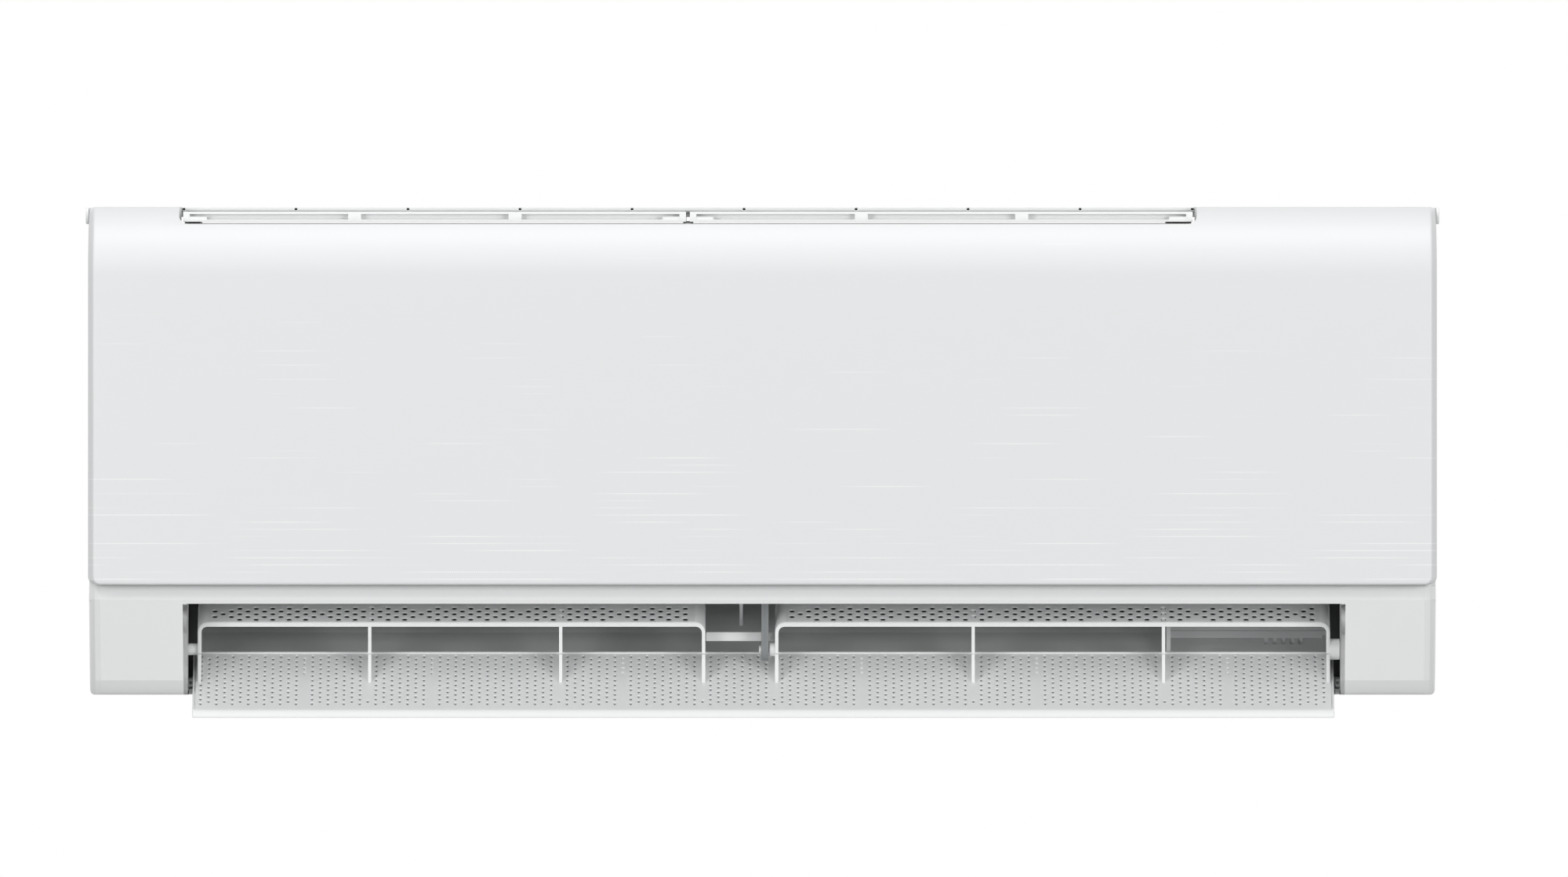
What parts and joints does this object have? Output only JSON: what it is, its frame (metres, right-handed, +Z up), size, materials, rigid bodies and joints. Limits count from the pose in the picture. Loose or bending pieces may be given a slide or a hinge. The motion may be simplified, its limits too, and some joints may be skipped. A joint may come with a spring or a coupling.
{
  "type": "mini split indoor unit",
  "caption": "Wall-mounted air conditioner indoor unit: long white case with a curved front panel, top intake, and an open perforated flap with two raised vanes.",
  "frame": {"origin": "middle of the mounting plate's back face, which lies against the wall", "axes": "+X to the right as seen from the room, +Y into the wall, +Z up; the front faces -Y"},
  "size_m": [0.836, 0.196, 0.3157],
  "materials": {
    "gloss_white_panel": "glossy injection moulded white plastic",
    "satin_white_abs": "satin moulded white ABS",
    "inner_white_abs": "satin moulded off-white plastic",
    "filter_frame": "moulded light grey plastic frame",
    "rubber": "moulded black rubber",
    "galvanised_steel": "zinc coated sheet steel",
    "aluminium_fins": "thin coated aluminium fins",
    "copper_tube": "drawn copper tube",
    "brass": "machined brass",
    "black_plastic": "flame retardant black plastic",
    "fan_plastic": "moulded dark grey glass filled plastic",
    "steel_shaft": "ground steel",
    "dark_grey_plastic": "moulded dark grey plastic",
    "circuit_board": "green circuit board laminate"
  },
  "bodies": {
    "unit": {"front_casing": "satin_white_abs", "top_grille": "satin_white_abs", "rear_chassis": "inner_white_abs", "drain_pan": "inner_white_abs", "drain_plug": "rubber", "mounting_plate": "galvanised_steel", "evaporator_front_lower": "aluminium_fins", "evaporator_front_upper": "aluminium_fins", "evaporator_rear": "aluminium_fins", "coil_end_left": "galvanised_steel", "coil_end_right": "galvanised_steel", "gas_pipe": "copper_tube", "liquid_pipe": "copper_tube", "gas_flare_nut": "brass", "liquid_flare_nut": "brass", "pipe_holder": "black_plastic", "fan_bearing": "rubber", "fan_motor": "dark_grey_plastic", "motor_clamp": "galvanised_steel", "control_box": "black_plastic", "control_box_cover": "galvanised_steel", "control_board": "circuit_board", "terminal_block": "black_plastic", "receiver_board": "circuit_board", "deflector_motor": "galvanised_steel", "centre_bracket": "dark_grey_plastic"},
    "panel": {"front_panel": "gloss_white_panel"},
    "filter_left": {"filter_left": "filter_frame"},
    "filter_right": {"filter_right": "filter_frame"},
    "deflector": {"flap": "satin_white_abs", "upper_vane_left": "satin_white_abs", "upper_vane_right": "satin_white_abs", "vane_link_bar": "dark_grey_plastic"},
    "fan": {"cross_flow_fan": "fan_plastic", "motor_shaft": "steel_shaft"},
    "button": {"manual_button": "satin_white_abs"},
    "vane_left_1": {"vertical_vane_left_1": "inner_white_abs"},
    "vane_left_2": {"vertical_vane_left_2": "inner_white_abs"},
    "vane_left_3": {"vertical_vane_left_3": "inner_white_abs"},
    "vane_left_4": {"vertical_vane_left_4": "inner_white_abs"},
    "vane_left_5": {"vertical_vane_left_5": "inner_white_abs"},
    "vane_left_6": {"vertical_vane_left_6": "inner_white_abs"},
    "vane_left_7": {"vertical_vane_left_7": "inner_white_abs"},
    "rod_left": {"tie_rod_left": "inner_white_abs"},
    "vane_right_1": {"vertical_vane_right_1": "inner_white_abs"},
    "vane_right_2": {"vertical_vane_right_2": "inner_white_abs"},
    "vane_right_3": {"vertical_vane_right_3": "inner_white_abs"},
    "vane_right_4": {"vertical_vane_right_4": "inner_white_abs"},
    "vane_right_5": {"vertical_vane_right_5": "inner_white_abs"},
    "vane_right_6": {"vertical_vane_right_6": "inner_white_abs"},
    "vane_right_7": {"vertical_vane_right_7": "inner_white_abs"},
    "rod_right": {"tie_rod_right": "inner_white_abs"}
  },
  "joints": [
    {"name": "panel_hinge", "type": "hinge", "parent": "unit", "child": "panel", "pos_m": [0, -0.146, 0.121], "axis": [-1, 0, 0], "range_deg": [0, 80]},
    {"name": "filter_left_slide", "type": "slide", "parent": "unit", "child": "filter_left", "axis": [0, -1, 0], "range_m": [0, 0.11]},
    {"name": "filter_right_slide", "type": "slide", "parent": "unit", "child": "filter_right", "axis": [0, -1, 0], "range_m": [0, 0.11]},
    {"name": "deflector_hinge", "type": "hinge", "parent": "unit", "child": "deflector", "pos_m": [0, -0.1358, -0.1469], "axis": [-1, 0, 0], "range_deg": [0, 80]},
    {"name": "fan_spin", "type": "hinge", "parent": "unit", "child": "fan", "pos_m": [0, -0.083, -0.053], "axis": [1, 0, 0], "continuous": true},
    {"name": "button_press", "type": "slide", "parent": "unit", "child": "button", "axis": [0, 1, 0], "range_m": [0, 0.002], "stiffness_N_per_m": 250},
    {"name": "vane_left_1_turn", "type": "hinge", "parent": "unit", "child": "vane_left_1", "pos_m": [-0.3194, -0.124, -0.115], "axis": [0, 0, 1], "range_deg": [-30, 30]},
    {"name": "vane_left_2_turn", "type": "hinge", "parent": "unit", "child": "vane_left_2", "pos_m": [-0.28113, -0.124, -0.115], "axis": [0, 0, 1], "range_deg": [-30, 30]},
    {"name": "vane_left_3_turn", "type": "hinge", "parent": "unit", "child": "vane_left_3", "pos_m": [-0.24286, -0.124, -0.115], "axis": [0, 0, 1], "range_deg": [-30, 30]},
    {"name": "vane_left_4_turn", "type": "hinge", "parent": "unit", "child": "vane_left_4", "pos_m": [-0.20459, -0.124, -0.115], "axis": [0, 0, 1], "range_deg": [-30, 30]},
    {"name": "vane_left_5_turn", "type": "hinge", "parent": "unit", "child": "vane_left_5", "pos_m": [-0.16631, -0.124, -0.115], "axis": [0, 0, 1], "range_deg": [-30, 30]},
    {"name": "vane_left_6_turn", "type": "hinge", "parent": "unit", "child": "vane_left_6", "pos_m": [-0.12804, -0.124, -0.115], "axis": [0, 0, 1], "range_deg": [-30, 30]},
    {"name": "vane_left_7_turn", "type": "hinge", "parent": "unit", "child": "vane_left_7", "pos_m": [-0.08977, -0.124, -0.115], "axis": [0, 0, 1], "range_deg": [-30, 30]},
    {"name": "rod_left_swing", "type": "hinge", "parent": "vane_left_1", "child": "rod_left", "pos_m": [-0.3194, -0.0875, -0.117], "axis": [0, 0, 1], "range_deg": [-30, 30]},
    {"name": "vane_right_1_turn", "type": "hinge", "parent": "unit", "child": "vane_right_1", "pos_m": [-0.01323, -0.124, -0.115], "axis": [0, 0, 1], "range_deg": [-30, 30]},
    {"name": "vane_right_2_turn", "type": "hinge", "parent": "unit", "child": "vane_right_2", "pos_m": [0.02504, -0.124, -0.115], "axis": [0, 0, 1], "range_deg": [-30, 30]},
    {"name": "vane_right_3_turn", "type": "hinge", "parent": "unit", "child": "vane_right_3", "pos_m": [0.06331, -0.124, -0.115], "axis": [0, 0, 1], "range_deg": [-30, 30]},
    {"name": "vane_right_4_turn", "type": "hinge", "parent": "unit", "child": "vane_right_4", "pos_m": [0.10159, -0.124, -0.115], "axis": [0, 0, 1], "range_deg": [-30, 30]},
    {"name": "vane_right_5_turn", "type": "hinge", "parent": "unit", "child": "vane_right_5", "pos_m": [0.13986, -0.124, -0.115], "axis": [0, 0, 1], "range_deg": [-30, 30]},
    {"name": "vane_right_6_turn", "type": "hinge", "parent": "unit", "child": "vane_right_6", "pos_m": [0.17813, -0.124, -0.115], "axis": [0, 0, 1], "range_deg": [-30, 30]},
    {"name": "vane_right_7_turn", "type": "hinge", "parent": "unit", "child": "vane_right_7", "pos_m": [0.2164, -0.124, -0.115], "axis": [0, 0, 1], "range_deg": [-30, 30]},
    {"name": "rod_right_swing", "type": "hinge", "parent": "vane_right_1", "child": "rod_right", "pos_m": [-0.01323, -0.0875, -0.117], "axis": [0, 0, 1], "range_deg": [-30, 30]}
  ],
  "couplings": [
    {"joint": "vane_left_2_turn", "follows": "vane_left_1_turn", "ratio": 1},
    {"joint": "vane_left_3_turn", "follows": "vane_left_1_turn", "ratio": 1},
    {"joint": "vane_left_4_turn", "follows": "vane_left_1_turn", "ratio": 1},
    {"joint": "vane_left_5_turn", "follows": "vane_left_1_turn", "ratio": 1},
    {"joint": "vane_left_6_turn", "follows": "vane_left_1_turn", "ratio": 1},
    {"joint": "vane_left_7_turn", "follows": "vane_left_1_turn", "ratio": 1},
    {"joint": "rod_left_swing", "follows": "vane_left_1_turn", "ratio": -1},
    {"joint": "vane_right_2_turn", "follows": "vane_right_1_turn", "ratio": 1},
    {"joint": "vane_right_3_turn", "follows": "vane_right_1_turn", "ratio": 1},
    {"joint": "vane_right_4_turn", "follows": "vane_right_1_turn", "ratio": 1},
    {"joint": "vane_right_5_turn", "follows": "vane_right_1_turn", "ratio": 1},
    {"joint": "vane_right_6_turn", "follows": "vane_right_1_turn", "ratio": 1},
    {"joint": "vane_right_7_turn", "follows": "vane_right_1_turn", "ratio": 1},
    {"joint": "rod_right_swing", "follows": "vane_right_1_turn", "ratio": -1}
  ]
}
